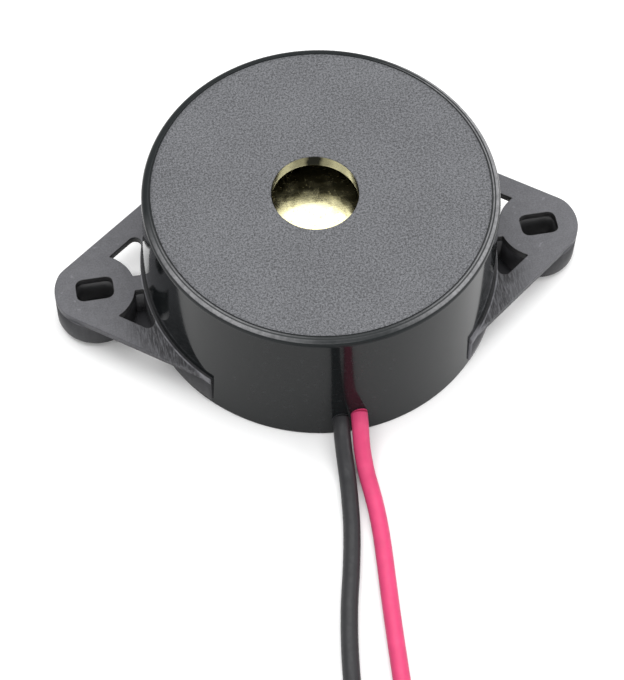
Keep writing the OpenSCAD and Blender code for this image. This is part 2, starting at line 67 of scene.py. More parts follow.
class BuzzerShape(bpy.types.PropertyGroup):
    """Sizes of the moulding, in millimetres. The groove is finer here than in the frame."""
    base_r: number("Base radius", "Radius of the case at its base", 11.75)
    top_r: number("Top radius", "Radius of the case at its top", 11.42)
    case_h: number("Case height", "Height of the case", 10.8)
    rim_r: number("Rim rounding", "Rounding of the top rim", 0.45)
    bore_r: number("Bore radius", "Inner radius of the side wall", 10.3)
    ledge_r: number("Chamber radius", "Radius of the front chamber", 9.4)
    lid_t: number("Sound wall", "Thickness of the sound wall", 1.0)
    seat_z: number("Seat height", "Height that the diaphragm seats at", 8.1)
    texture_r: number("Texture radius", "Radius of the textured disc", 10.88)
    groove_w: number("Groove width", "Width of the groove round the texture", 0.1)
    groove_t: number("Groove depth", "Depth of the groove round the texture", 0.06)
    hole_r: number("Hole radius", "Radius of the sound hole", 2.8)
    hole_x: number("Hole X", "Place of the sound hole along the ears", -0.42)
    hole_y: number("Hole Y", "Place of the sound hole across the ears", -0.14)
    edge_r: number("Edge rounding", "Rounding of the moulding's sharp edges", 0.07)


class EarShape(bpy.types.PropertyGroup):
    """Sizes of a mounting ear, in millimetres, as the frame has them."""
    slot_x: number("Slot place", "Distance of a slot from the axis", 15.0)
    slot_l: number("Slot length", "End-to-end length of a slot", 2.45)
    slot_w: number("Slot width", "Width of a slot", 1.65)
    boss_r: number("Boss radius", "Radius of a boss", 2.65)
    top: number("Ear top", "Height of the ears' top face", 3.1)
    lift: number("Ear underside", "Height of the ears' underside", 0.5)
    web_t: number("Web thickness", "Thickness of the web plate", 0.55)
    arm_w: number("Arm width", "Width of an arm of the web", 1.55)
    saddle_r: number("Saddle radius", "Outer radius of the saddle", 11.87)
    half: number("Saddle half angle", "Half the saddle's wrap, degrees", 43.5)
    neck_w: number("Neck width", "Width of the neck", 1.15)
    arm_a: number("Arm direction", "Direction that an arm's outer edge faces, degrees", 53.2)
    opening_r: number("Opening rounding", "Rounding of an opening's far corner", 0.45)
    edge_in: number("Edge step", "Step from the boss's side to the web's edge", 0.08)
    edge_r: number("Edge rounding", "Rounding of the ears' edges", 0.06)
    hole_edge_r: number("Hole edge rounding", "Rounding of the ears' inner edges", 0.03)


class LeadShape(bpy.types.PropertyGroup):
    """Sizes of the leads and their coils, in millimetres."""
    lead_d: number("Lead diameter", "Diameter over the insulation", 1.1)
    core_d: number("Core diameter", "Diameter of the tinned end", 0.5)
    bare_l: number("Bare length", "Length of the tinned end", 4.0)
    coil_r: number("Coil radius", "Radius of a coil's first turn", 6.5)
    turns: number("Turns", "Turns in a coil", 1.95)
    tail_turn: number("Tail turn", "Bend into the coil's hollow, degrees", 72.0)
    length: number("Lead length", "Real length of a lead outside the case", 100.0)
    sides: IntProperty(name="Sides", description="Sides of a lead's mesh", default=28)


class Looks(bpy.types.PropertyGroup):
    """Colours, linear, as they are written into the materials."""
    grain: tint("Sound face", "Colour of the textured face", (0.102, 0.104, 0.111))
    gloss: tint("Wall", "Colour of the glossy wall", (0.009, 0.0105, 0.011))
    ear: tint("Ears", "Colour of the satin ears", (0.099, 0.099, 0.107))
    red: tint("Red lead", "Colour of the red insulation", (0.6, 0.055, 0.155))
    black: tint("Black lead", "Colour of the black insulation", (0.026, 0.026, 0.028))
    brass: tint("Brass", "Colour of the brass plate", (0.6, 0.56, 0.33))


class CameraPlace(bpy.types.PropertyGroup):
    """Where the photograph was taken from."""
    azimuth: number("Azimuth", "Turn of the camera about +Z, degrees", -11.874)
    elevation: number("Elevation", "Height of the camera, degrees", 59.135)
    roll: number("Roll", "Roll of the camera, degrees", 1.625)
    distance: number("Distance", "From the camera to its target, mm", 141.08)
    lens: number("Lens", "Focal length, mm", 126.695)
    target: FloatVectorProperty(
        name="Target", description="Point that the camera looks at, mm", size=3,
        default=(-1.805, -7.062, 4.36))


# ---------------------------------------------------------------- mesh helpers

def make_object(name, verts, faces, materials, indices=None, smooth=None):
    """Mesh object from vertices in mm, faces, its materials, and each face's material index."""
    mesh = bpy.data.meshes.new(name)
    mesh.from_pydata((np.asarray(verts, float) * MM).tolist(), [], faces)
    for m in materials:
        mesh.materials.append(m)
    if indices is not None:
        mesh.polygons.foreach_set("material_index", np.asarray(indices, np.int32))
    flags = np.ones(len(mesh.polygons), bool) if smooth is None else np.asarray(smooth, bool)
    mesh.polygons.foreach_set("use_smooth", flags)
    if mesh.validate():
        raise RuntimeError(name + " had faces that had to be mended")
    mesh.update()
    obj = bpy.data.objects.new(name, mesh)
    bpy.context.scene.collection.objects.link(obj)
    return obj


def ring_faces(rings, n, closed=True):
    """Quads between `rings` successive rings of n vertices: face (i, j) joins vertices
    i*n + j, i*n + j+1, (i+1)*n + j+1 and (i+1)*n + j; the last ring joins the first when closed."""
    last = rings if closed else rings - 1
    i = np.repeat(np.arange(last), n)
    j = np.tile(np.arange(n), last)
    k, m = (i + 1) % rings, (j + 1) % n
    return np.stack([i * n + j, i * n + m, k * n + m, k * n + j], axis=1)


def rounded(points, steps=6, support=0.03):
    """Polyline with rounded corners. Each entry is (x, z, radius). At a corner with radius r the arc
    has its tangent points at r * tan(a / 2) from the corner, where a is the turn between the two
    sides. A support point follows each arc at a short distance, so that flat bands shade flat."""
    p = np.array([q[:2] for q in points], float)
    out = []
    for i, (x, z, r) in enumerate(points):
        if r <= 0 or i in (0, len(points) - 1):
            out.append((x, z))
            continue
        u = (p[i] - p[i - 1]) / np.linalg.norm(p[i] - p[i - 1])
        v = (p[i + 1] - p[i]) / np.linalg.norm(p[i + 1] - p[i])
        turn = math.atan2(u[0] * v[1] - u[1] * v[0], float(np.dot(u, v)))
        t = r * math.tan(abs(turn) / 2)
        side = 1 if turn > 0 else -1
        centre = p[i] - t * u + side * r * np.array([-u[1], u[0]])
        start = p[i] - t * u - centre
        out.append(tuple(p[i] - (t + support) * u))
        for k in range(steps + 1):
            a = turn * k / steps
            c, s = math.cos(a), math.sin(a)
            out.append((centre[0] + c * start[0] - s * start[1], centre[1] + s * start[0] + c * start[1]))
        out.append(tuple(p[i] + (t + support) * v))
    return np.array(out)


def arc(centre, r, a0, a1, n):
    """n + 1 points on a circle from angle a0 to a1, in radians: c + r * (cos a, sin a)."""
    a = np.linspace(a0, a1, n + 1)
    return np.stack([centre[0] + r * np.cos(a), centre[1] + r * np.sin(a)], axis=1)


def line(p, q, n):
    """n + 1 points from p to q."""
    t = np.linspace(0, 1, n + 1)[:, None]
    return (1 - t) * np.asarray(p, float) + t * np.asarray(q, float)


def cut_back(seg, reach, at_end):
    """Segment shortened by `reach` of arc length at one end. No point stays nearer to the cut than 0.3
    of the segment's own step."""
    pts = seg[::-1] if at_end else seg
    d = np.concatenate([[0], np.cumsum(np.linalg.norm(np.diff(pts, axis=0), axis=1))])
    reach = min(reach, 0.45 * d[-1])
    start = np.array([np.interp(reach, d, pts[:, k]) for k in range(2)])
    pts = np.vstack([start, pts[d > reach + 0.3 * d[1]]])
    return pts[::-1] if at_end else pts


def closed_outline(segments, reaches, n=7):
    """Closed loop through the segments; corner i, between segments i and i + 1, becomes the quadratic
    Bezier curve (1-t)^2 a + 2t(1-t) c + t^2 b over reaches[i] to each side of the corner c."""
    count = len(segments)
    corners = [segments[i][-1] for i in range(count)]
    segs = [s.copy() for s in segments]
    for i in range(count):
        if reaches[i] > 0:
            segs[i] = cut_back(segs[i], reaches[i], True)
            segs[(i + 1) % count] = cut_back(segs[(i + 1) % count], reaches[i], False)
    loop = []
    for i in range(count):
        loop.append(segs[i] if reaches[i] > 0 else segs[i][:-1])
        if reaches[i] > 0:
            a, b, c = segs[i][-1], segs[(i + 1) % count][0], corners[i]
            t = np.linspace(0, 1, n + 1)[1:-1, None]
            loop.append((1 - t) ** 2 * a + 2 * t * (1 - t) * c + t ** 2 * b)
    pts = np.vstack(loop)
    keep = np.linalg.norm(pts - np.roll(pts, 1, axis=0), axis=1) > 1e-4
    return pts[keep]


def inset(loop, d):
    """Loop moved by d to the left of its own direction, along the mean normal of each two sides."""
    e = np.roll(loop, -1, axis=0) - loop
    e /= np.linalg.norm(e, axis=1)[:, None]
    n = np.stack([-e[:, 1], e[:, 0]], axis=1)
    m = n + np.roll(n, 1, axis=0)
    m /= np.linalg.norm(m, axis=1)[:, None]
    scale = 1 / np.clip(np.sum(m * n, axis=1), 0.5, 1)
    return loop + d * m * scale[:, None]


def edge_levels(z0, z1, r0, r1, steps=4, support=0.03):
    """Steps (inset, height) of a plate's side, from its bottom edge to its top edge. An edge of radius
    r is a quarter arc: at the angle t the side steps in by r (1 - sin t), r (1 - cos t) from the face."""
    low, high = [(0, z0)], [(0, z1)]
    t = np.linspace(0, 0.5 * math.pi, steps + 1)
    if r0 > 0:
        low = list(zip(r0 * (1 - np.sin(t)), z0 + r0 * (1 - np.cos(t)))) + [(0, z0 + r0 + support)]
    if r1 > 0:
        high = [(0, z1 - r1 - support)] + list(zip(r1 * (1 - np.sin(t)), z1 - r1 * (1 - np.cos(t))))[::-1]
    return low + high


class Builder:
    """Collects the vertices and faces of one mesh, with a material index and a smooth flag a face."""

    def __init__(self):
        self.verts, self.faces, self.mats, self.smooth, self.count = [], [], [], [], 0

    def add(self, verts, faces, mat, smooth=True):
        faces = [[int(k) + self.count for k in f] for f in faces]
        self.verts.append(np.asarray(verts, float))
        self.count += len(verts)
        self.faces += faces
        self.mats += list(mat) if hasattr(mat, "__len__") else [mat] * len(faces)
        self.smooth += [smooth] * len(faces)

    def slab(self, outer, holes, z0, z1, r0, r1, mats, hole_scale=1.0):
        """Plate between z0 and z1 with an outer loop (counter-clockwise) and holes (clockwise). Its
        bottom and top edges are quarter arcs of radius r0 and r1, times hole_scale at the holes. mats
        is (side, top, bottom, holes' sides)."""
        verts, faces, kinds = [], [], []
        total, rims_low, rims_top = 0, [], []
        for number, loop in enumerate([outer] + holes):
            k = hole_scale if number else 1.0
            levels = edge_levels(z0, z1, r0 * k, r1 * k)
            n = len(loop)
            for d, z in levels:
                p = inset(loop, d)
                verts.append(np.column_stack([p, np.full(n, z)]))
            q = ring_faces(len(levels), n, closed=False) + total
            faces += q.tolist()
            kinds += [mats[3] if number else mats[0]] * len(q)
            rims_low.append(np.arange(n) + total)
            rims_top.append(np.arange(n) + total + (len(levels) - 1) * n)
            total += n * len(levels)
        verts = np.vstack(verts)
        for rims, kind, up in ((rims_top, mats[1], True), (rims_low, mats[2], False)):
            index = np.concatenate(rims)
            edges, start = [], 0
            for rim in rims:
                n = len(rim)
                edges += [(start + k, start + (k + 1) % n) for k in range(n)]
                start += n
            flat = verts[index][:, :2]
            points, _, triangles, sources, _, _ = delaunay_2d_cdt(
                [Vector(p) for p in flat.tolist()], edges, [], 2, 1e-7)
            if len(points) != len(index):
                raise RuntimeError("a plate's outline crosses itself")
            where = [index[source[0]] for source in sources]
            centres = np.array([np.mean([points[k] for k in f], axis=0) for f in triangles])
            inside = in_loops(centres, split(flat, rims))
            for f, ok in zip(triangles, inside):
                if ok:
                    face = [where[k] for k in f]
                    faces.append(face if up else face[::-1])
                    kinds.append(kind)
        self.add(verts, faces, kinds)

    def mirror_x(self, plan):
        """Adds the mirror image across X = 0 of what another builder holds."""
        v = np.vstack(plan.verts) * np.array([-1.0, 1, 1])
        self.add(v, [f[::-1] for f in plan.faces], list(plan.mats))

    def copy(self, plan):
        """Adds what another builder holds."""
        self.add(np.vstack(plan.verts), plan.faces, list(plan.mats))

    def build(self, name, materials):
        return make_object(name, np.vstack(self.verts), self.faces, materials, self.mats, self.smooth)


def split(flat, rims):
    """Points cut into successive loops, each as long as its rim."""
    out, start = [], 0
    for rim in rims:
        out.append(flat[start:start + len(rim)])
        start += len(rim)
    return out


def in_loops(points, loops):
    """Even-odd test of points against closed loops: a point is inside when a ray to +X crosses the
    loops' sides an odd number of times."""
    odd = np.zeros(len(points), bool)
    x, y = points[:, 0][:, None], points[:, 1][:, None]
    for loop in loops:
        a, b = loop, np.roll(loop, -1, axis=0)
        cross = (a[:, 1] > y) != (b[:, 1] > y)
        with np.errstate(divide="ignore", invalid="ignore"):
            at = (b[:, 0] - a[:, 0]) * (y - a[:, 1]) / (b[:, 1] - a[:, 1]) + a[:, 0]
        odd ^= (np.sum(cross & (x < at), axis=1) % 2).astype(bool)
    return odd


# ---------------------------------------------------------------- materials

class Nodes:
    """Short way of writing the node tree of a new material, or of a new world."""

    def __init__(self, name, world=False):
        self.owner = (bpy.data.worlds if world else bpy.data.materials).new(name)
        self.owner.use_nodes = True
        self.tree = self.owner.node_tree
        self.tree.nodes.clear()
        self.out = self.node("OutputWorld" if world else "OutputMaterial")

    def node(self, kind, links=None, **values):
        n = self.tree.nodes.new("ShaderNode" + kind)
        for key, value in values.items():
            setattr(n, key, value)
        for key, value in (links or {}).items():
            socket = n.inputs[key]
            if isinstance(value, bpy.types.NodeSocket):
                self.tree.links.new(value, socket)
            else:
                socket.default_value = value
        return n

    def math(self, op, a, b=0.0):
        return self.node("Math", {0: a, 1: b}, operation=op).outputs[0]

    def ramp(self, value, low, high, out_low=0.0, out_high=1.0):
        links = {"Value": value, "From Min": low, "From Max": high, "To Min": out_low, "To Max": out_high}
        return self.node("MapRange", links).outputs[0]

    def noise(self, place, scale, detail=2.0, rough=0.5):
        links = {"Vector": place, "Scale": scale, "Detail": detail, "Roughness": rough}
        return self.node("TexNoise", links).outputs["Fac"]

    def place(self):
        return self.node("TexCoord").outputs["Object"]

    def stretched(self, place, scale):
        return self.node("Mapping", {"Vector": place, "Scale": scale}).outputs[0]

    def plan(self, place):
        """X, Y, the flat vector (x, y, 0) and its length r, the distance from the case's axis."""
        axes = self.node("SeparateXYZ", {"Vector": place})
        x, y = axes.outputs["X"], axes.outputs["Y"]
        flat = self.node("CombineXYZ", {"X": x, "Y": y}).outputs[0]
        return x, y, flat, self.node("VectorMath", {0: flat}, operation="LENGTH").outputs["Value"]

    def mix(self, fac, a, b):
        n = self.node("Mix", data_type="RGBA")
        for key, value in ((0, fac), (6, a), (7, b)):
            if isinstance(value, bpy.types.NodeSocket):
                self.tree.links.new(value, n.inputs[key])
            else:
                n.inputs[key].default_value = value
        return n.outputs[2]

    def bump(self, height, strength, distance, before=None):
        links = {"Height": height, "Strength": strength, "Distance": distance}
        if before is not None:
            links["Normal"] = before
        return self.node("Bump", links).outputs[0]

    def finish(self, shader):
        """Wires the shader to the output, and gives the material or the world."""
        self.tree.links.new(shader.outputs[0], self.out.inputs[0])
        return self.owner

    def surface(self, **sockets):
        links = {key.replace("_", " "): value for key, value in sockets.items()}
        return self.finish(self.node("BsdfPrincipled", links))

    def sees_background(self):
        """1 for the rays that show the background: from the camera, off gloss and through glass."""
        rays = self.node("LightPath")
        either = self.math("MAXIMUM", rays.outputs["Is Camera Ray"], rays.outputs["Is Glossy Ray"])
        return self.math("MAXIMUM", either, rays.outputs["Is Transmission Ray"])


def rgba(c, k=1.0):
    """A colour times k, no part of it above 1."""
    return (min(1, c[0] * k), min(1, c[1] * k), min(1, c[2] * k), 1.0)


def grain_material(c):
    """Spark-eroded sound face: fine uneven grain, a little lighter on its high spots."""
    n = Nodes("case_grain")
    p = n.place()
    fine = n.noise(p, 14000, 1.5, 0.7)
    mid = n.noise(p, 7500, 1.5, 0.6)
    broad = n.noise(p, 260, 2.0)
    both = n.math("ADD", n.math("MULTIPLY", fine, 0.5), n.math("MULTIPLY", mid, 0.5))
    shade = n.math("ADD", both, n.math("MULTIPLY", n.math("SUBTRACT", broad, 0.5), 0.06))
    colour = n.mix(n.ramp(shade, 0.4, 0.6), rgba(c, 0.52), rgba(c, 1.52))
    normal = n.bump(both, 0.6, 0.00003)
    return n.surface(Base_Color=colour, Roughness=0.6, Normal=normal, Specular_IOR_Level=0.2)


def gloss_material(c):
    """Polished moulded wall: faint draw marks, a few soft smears in the gloss."""
    n = Nodes("case_gloss")
    p = n.place()
    smear = n.noise(n.stretched(p, (1, 1, 0.35)), 420, 3.0, 0.6)
    rough = n.ramp(smear, 0.3, 0.7, 0.07, 0.13)
    specks = n.noise(p, 2600, 1.0)
    colour = n.mix(n.ramp(specks, 0.62, 0.8), rgba(c), rgba(c, 1.8))
    normal = n.bump(n.noise(n.stretched(p, (1, 1, 0.2)), 900, 2.0), 0.06, 0.00003)
    return n.surface(Base_Color=colour, Roughness=rough, Normal=normal, Specular_IOR_Level=0.11)


def rim_material(c, top_r):
    """Rounded rim: a thin light line beside the texture, then a light satin band, both painted highlight, on
    the wall's gloss, whose colour here is 1.6 times as light, also painted light. Each is a ring |r - r0| <
    half its width. Both are painted bright at the sides and dark in front and at the back left: a ramp on |x|
    from
    2 to 7 mm times a ramp on 0.6 x - y from -7 to -1 mm."""
    n = Nodes("case_rim")
    p = n.place()
    x, y, _, away = n.plan(p)
    soft = 0.02

    def ring(inwards, half):
        """1 on a ring that lies `inwards` of the case's top radius, 0 beyond half its width."""
        off = n.math("ABSOLUTE", n.math("SUBTRACT", away, (top_r - inwards) * MM))
        return n.ramp(off, (half + soft) * MM, (half - soft) * MM)

    # painted highlight: lighter rings on the rim, strong at the sides, weak in front and at the back left
    sides = n.ramp(n.math("ABSOLUTE", x), 2 * MM, 7 * MM, 0.1, 1.0)
    slope = n.math("SUBTRACT", n.math("MULTIPLY", x, 0.6), y)
    highlight_sides = n.math("MULTIPLY", sides, n.ramp(slope, -7 * MM, -1 * MM))
    rim_mottle = n.noise(p, 3200, 3.0, 0.6)
    bright = n.mix(n.ramp(rim_mottle, 0.35, 0.65), (0.15, 0.15, 0.155, 1), (0.23, 0.23, 0.237, 1))
    highlight_line, band = n.math("MULTIPLY", ring(0.44, 0.04), 0.7), ring(0.2, 0.1)
    painted_highlight = n.math("MULTIPLY", n.math("MAXIMUM", highlight_line, band), highlight_sides)
    # outside the rings the rim's colour is the wall's times 1.6, painted light as well
    return n.surface(
        Base_Color=n.mix(painted_highlight, rgba(c, 1.6), bright), Roughness=n.ramp(painted_highlight, 0, 1, 0.14, 0.32),
        Normal=n.bump(rim_mottle, 0.2, 0.00002), Specular_IOR_Level=n.ramp(highlight_sides, 0, 1, 0.08, 0.16))


def bore_material(c):
    """Side of the sound hole: mirror-smooth where the pin cored it, so that it shows the brass below. A
    dull streak about 1 mm wide runs down it at x = 0, on the far side and on the near one."""
    n = Nodes("case_bore")
    p = n.place()
    off = n.math("ABSOLUTE", n.plan(p)[0])
    ragged = n.math("MULTIPLY", n.noise(p, 2600, 2.0), 0.3 * MM)
    dull = n.ramp(n.math("ADD", off, ragged), 0.8 * MM, 0.5 * MM)
    return n.surface(
        Base_Color=rgba(c), Roughness=0.16, Specular_IOR_Level=n.ramp(dull, 0, 1, 1.0, 0.1),
        Coat_Weight=n.ramp(dull, 0, 1, 1.0, 0.0), Coat_Roughness=0.08, Coat_IOR=3.4)


def ear_material(c, saddle_r):
    """Satin ears: fine grain, light specks of flash where the mould parts, and drag marks towards the
    saddle that also carry painted shade, darker near the wall: their weight rises from 0 at r = 14.4 mm to 1
    at r = 12.6 mm on the leads' side. A thin painted highlight follows the saddle's edge, with a dark line
    of painted shade inside it, at the wall. The right saddle's front end, at x > 0 and y < -7.5 mm, is
    lighter, as painted light."""
    n = Nodes("case_ear")
    p = n.place()
    fine = n.noise(p, 9000, 2.0, 0.6)
    cloud = n.noise(p, 1600, 2.0)
    speck = n.noise(p, 2400, 1.0)
    drag = n.noise(n.stretched(p, (3.2, 0.45, 1.0)), 2600, 3.0, 0.7)
    x, y, _, away = n.plan(p)
    # weight of the drag marks, which also paint shade on the arms towards the wall
    drag_shade_zone = n.math("MULTIPLY", n.ramp(away, 14.4 * MM, 12.6 * MM), n.ramp(y, -2.4 * MM, -3.6 * MM))
    tone = n.math("ADD", n.math("MULTIPLY", fine, 0.7), n.math("MULTIPLY", cloud, 0.3))
    colour = n.mix(n.ramp(tone, 0.36, 0.64), rgba(c, 0.84), rgba(c, 1.16))
    colour = n.mix(n.ramp(speck, 0.7, 0.78, 0.0, 0.4), colour, rgba(c, 2.0))
    # drag streaks, darker on average: real marks, and painted shade near the wall
    streak = n.mix(n.ramp(drag, 0.42, 0.66), rgba(c, 0.14), rgba(c, 1.15))
    colour = n.mix(n.math("MULTIPLY", drag_shade_zone, 0.85), colour, streak)
    # painted highlight along the saddle's edge, and a line of painted shade inside it at the wall
    edge = n.ramp(away, (saddle_r + 0.06) * MM, (saddle_r + 0.01) * MM)
    crease_shade = n.ramp(away, (saddle_r - 0.02) * MM, (saddle_r - 0.07) * MM)
    colour = n.mix(n.math("MULTIPLY", edge, n.ramp(cloud, 0.35, 0.6, 0.3, 1.0)), colour, rgba(c, 2.0))
    colour = n.mix(crease_shade, colour, rgba(c, 0.2))
    # painted light: the right saddle's front end made lighter against its shade
    right_end = n.math("MULTIPLY", n.ramp(y, -7.0 * MM, -7.5 * MM), n.ramp(x, 0, MM))
    colour = n.mix(right_end, colour, rgba(c, 1.5))
    normal = n.bump(tone, 0.25, 0.00003)
    normal = n.bump(n.math("MULTIPLY", drag, drag_shade_zone), 0.6, 0.00006, normal)
    return n.surface(Base_Color=colour, Roughness=0.55, Normal=normal, Specular_IOR_Level=0.22)


def skirt_material(c, half):
    """Sides of the ears and saddles: darker satin with upright draw marks. The right saddle's face, at
    x > 0 and r < 12 mm, is polished like the wall, with a painted reflection: its colour is made lighter,
    and lighter still within 0.16 mm of its front end, which is at the angle half."""
    n = Nodes("case_skirt")
    p = n.place()
    drag = n.noise(n.stretched(p, (1, 1, 0.12)), 1800, 3.0, 0.65)
    fine = n.noise(p, 6200, 2.0)
    tone = n.math("ADD", n.math("MULTIPLY", drag, 0.6), n.math("MULTIPLY", fine, 0.4))
    x, _, flat, away = n.plan(p)
    polished = n.math("MULTIPLY", n.ramp(away, 12.2 * MM, 12.0 * MM), n.ramp(x, 0, MM))
    colour = n.mix(n.ramp(tone, 0.34, 0.66), rgba(c, 0.75), rgba(c, 1.25))
    across = (math.sin(half), math.cos(half), 0)
    from_end = n.node("VectorMath", {0: flat, 1: across}, operation="DOT_PRODUCT").outputs["Value"]
    # painted reflection: the polished face's colour is 2.1 times the skirt's, and 5 times at its front end
    gloss = n.mix(n.ramp(from_end, 0.16 * MM, 0.04 * MM), rgba(c, 2.1), rgba(c, 5.0))
    normal = n.bump(tone, n.ramp(polished, 0, 1, 0.3, 0.02), 0.00004)
    return n.surface(
        Base_Color=n.mix(polished, colour, gloss), Roughness=n.ramp(polished, 0, 1, 0.42, 0.1),
        Normal=normal, Specular_IOR_Level=n.ramp(polished, 0, 1, 0.3, 0.11))


def shadow_material(c):
    """Inside of the moulding: plain dark satin."""
    n = Nodes("case_inside")
    p = n.place()
    fine = n.noise(p, 3000, 2.0)
    colour = n.mix(fine, rgba(c, 0.8), rgba(c, 1.2))
    return n.surface(Base_Color=colour, Roughness=0.55, Normal=n.bump(fine, 0.2, 0.00003))


def brass_material(c):
    """Rolled brass: fine rolling lines, uneven polish, tarnish, and gold dust that catches the light."""
    n = Nodes("brass_bright")
    p = n.place()
    lines = n.noise(n.stretched(p, (0.15, 4, 1)), 2600, 2.0)
    dust = n.noise(p, 5200, 3.0, 0.7)
    tarnish = n.noise(p, 1500, 4.0, 0.65)
    spot = n.ramp(dust, 0.62, 0.7)
    colour = n.mix(n.ramp(tarnish, 0.45, 0.75, 0.0, 0.4), rgba(c), rgba(c, 0.75))
    colour = n.mix(spot, colour, rgba((0.26, 0.22, 0.1)))
    rough = n.math("ADD", n.ramp(lines, 0.3, 0.7, 0.12, 0.17), n.ramp(tarnish, 0.35, 0.65, 0.0, 0.12))
    normal = n.bump(n.math("ADD", lines, tarnish), 0.1, 0.00001)
    return n.surface(
        Base_Color=colour, Metallic=n.ramp(spot, 0, 1, 1.0, 0.25), Roughness=rough, Normal=normal)


def sleeve_material(name, c, rough=0.38):
    """Soft insulation: slight waviness in the gloss and faint dust."""
    n = Nodes(name)
    p = n.place()
    wave = n.noise(p, 900, 2.0)
    fine = n.noise(p, 5200, 2.0)
    colour = n.mix(n.ramp(wave, 0.3, 0.7), rgba(c, 0.93), rgba(c, 1.07))
    normal = n.bump(n.math("ADD", wave, n.math("MULTIPLY", fine, 0.3)), 0.12, 0.00003)
    dull = n.ramp(fine, 0.35, 0.65, rough - 0.08, rough + 0.16)
    return n.surface(Base_Color=colour, Roughness=dull, Normal=normal, Specular_IOR_Level=0.2)


def metal_material(name, c, rough, scale=2600):
    """Satin metal with uneven tone."""
    n = Nodes(name)
    p = n.place()
    tone = n.noise(p, scale, 3.0, 0.6)
    colour = n.mix(n.ramp(tone, 0.3, 0.7), rgba(c, 0.82), rgba(c, 1.1))
    return n.surface(Base_Color=colour, Metallic=1.0, Roughness=rough, Normal=n.bump(tone, 0.2, 0.00003))


def plain_material(name, c, rough, scale=2200, spread=0.15, coat=0.0):
    """Mottled solid material, for laminate, ceramic, adhesive and moulded chips."""
    n = Nodes(name)
    p = n.place()
    tone = n.noise(p, scale, 3.0, 0.6)
    colour = n.mix(n.ramp(tone, 0.3, 0.7), rgba(c, 1 - spread), rgba(c, 1 + spread))
    normal = n.bump(tone, 0.25, 0.00003)
    return n.surface(Base_Color=colour, Roughness=rough, Normal=normal, Coat_Weight=coat)


# ---------------------------------------------------------------- pieces

def case_plan(s):
    """The case as one ring of half sections. The half section runs from the bore's foot out along the
    base, up the wall, over the rim, into the groove, over the sound face, down the hole, back under
    the sound wall and down the bore. Sections inside the texture's edge slide from the case's axis to
    the hole's: x = cx * w + r cos a, with w = 1 at the hole and 0 at the texture's edge."""
    h, b = s.case_h, s.edge_r
    base_edge, groove_step, chamfer, lip = 0.1, 0.015, 0.3, 0.6
    n = 256
    lid_z = h - s.lid_t
    edge = s.texture_r + s.groove_w / 2
    inner = s.texture_r - s.groove_w / 2
    out = rounded([
        (s.bore_r, 0.0, 0), (s.base_r, 0.0, base_edge), (s.top_r, h, s.rim_r), (edge, h, 0.0),
    ], steps=10)
    groove = rounded([
        (edge, h, 0), (edge - groove_step, h - s.groove_t, 0.02),
        (inner + groove_step, h - s.groove_t, 0.02), (inner, h, 0),
    ], steps=3, support=0.004)[1:]
    face_r = np.linspace(inner, s.hole_r + b + 0.02, 30)[1:]
    face = np.stack([face_r, np.full(len(face_r), h)], axis=1)
    hole = rounded([
        (face_r[-1], h, 0), (s.hole_r, h, b), (s.hole_r, lid_z, b), (s.hole_r + lip, lid_z, 0),
    ], steps=5, support=0.01)[1:]
    under = np.array([
        (s.hole_r + lip, lid_z), (s.ledge_r - chamfer, lid_z), (s.ledge_r, lid_z - chamfer),
        (s.ledge_r, s.seat_z), (s.bore_r, s.seat_z), (s.bore_r, 4.0),
    ])[1:]
    profile = np.vstack([out, groove, face, hole, under])
    zones = np.concatenate([
        np.where(out[:-1, 1] > h - s.rim_r - 0.05, 5, 1), np.full(len(groove), 5), np.full(len(face), 0),
        np.where(hole[:, 1] > h - b - 0.005, 0, 6), np.full(len(under), 2), [2],
    ])
    w = np.clip((inner - profile[:, 0]) / (inner - s.hole_r), 0, 1)
    w[:len(out) + len(groove)] = 0
    w[-len(under):] = 0
    a = np.linspace(0, 2 * math.pi, n, endpoint=False)
    r, z = profile[:, 0][:, None], profile[:, 1][:, None]
    x = r * np.cos(a) + s.hole_x * w[:, None]
    y = r * np.sin(a) + s.hole_y * w[:, None]
    verts = np.stack([x, y, np.broadcast_to(z, x.shape)], axis=2).reshape(-1, 3)
    faces = ring_faces(len(profile), n)
    return verts, faces, np.repeat(zones[:len(profile)], n)


